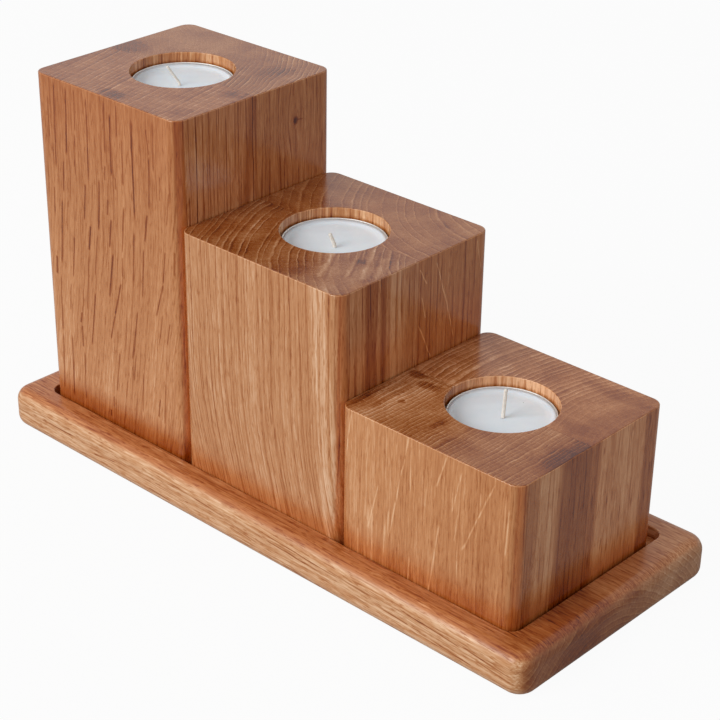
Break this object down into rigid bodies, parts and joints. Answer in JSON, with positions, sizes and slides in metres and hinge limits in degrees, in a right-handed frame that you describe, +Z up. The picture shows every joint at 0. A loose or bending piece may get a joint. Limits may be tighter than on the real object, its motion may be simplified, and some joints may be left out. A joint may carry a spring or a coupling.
{
  "type": "stepped tealight holder",
  "caption": "Stepped oak tealight holder: loose square blocks of falling height stand in a recessed tray, each with a round pocket for a tealight.",
  "frame": {"origin": "centre of the tray's underside", "axes": "+X along the tray towards the low block, +Y to the back, +Z up"},
  "size_m": [0.2664, 0.1062, 0.1551],
  "materials": {
    "oak": "satin oiled oak",
    "cup_foil": "bright drawn foil",
    "wax": "smooth white candle wax",
    "wick_cotton": "waxed cotton braid",
    "tab_steel": "plain tinned sheet"
  },
  "bodies": {
    "tray": {"tray": "oak"},
    "tall_block": {"tall_front_board": "oak", "tall_back_board": "oak"},
    "tall_tealight": {"tall_candle_cup": "cup_foil", "tall_candle_wax": "wax", "tall_candle_wick": "wick_cotton", "tall_wick_tab": "tab_steel"},
    "middle_block": {"middle_front_board": "oak", "middle_back_board": "oak"},
    "middle_tealight": {"middle_candle_cup": "cup_foil", "middle_candle_wax": "wax", "middle_candle_wick": "wick_cotton", "middle_wick_tab": "tab_steel"},
    "low_block": {"low_front_board": "oak", "low_back_board": "oak"},
    "low_tealight": {"low_candle_cup": "cup_foil", "low_candle_wax": "wax", "low_candle_wick": "wick_cotton", "low_wick_tab": "tab_steel"}
  },
  "joints": [
    {"name": "tall_block_lift", "type": "slide", "parent": "tray", "child": "tall_block", "axis": [0, 0, 1], "range_m": [0, 0.105]},
    {"name": "tall_tealight_lift", "type": "slide", "parent": "tall_block", "child": "tall_tealight", "axis": [0, 0, 1], "range_m": [0, 0.025]},
    {"name": "middle_block_lift", "type": "slide", "parent": "tray", "child": "middle_block", "axis": [0, 0, 1], "range_m": [0, 0.145]},
    {"name": "middle_tealight_lift", "type": "slide", "parent": "middle_block", "child": "middle_tealight", "axis": [0, 0, 1], "range_m": [0, 0.025]},
    {"name": "low_block_lift", "type": "slide", "parent": "tray", "child": "low_block", "axis": [0, 0, 1], "range_m": [0, 0.105]},
    {"name": "low_tealight_lift", "type": "slide", "parent": "low_block", "child": "low_tealight", "axis": [0, 0, 1], "range_m": [0, 0.025]}
  ]
}
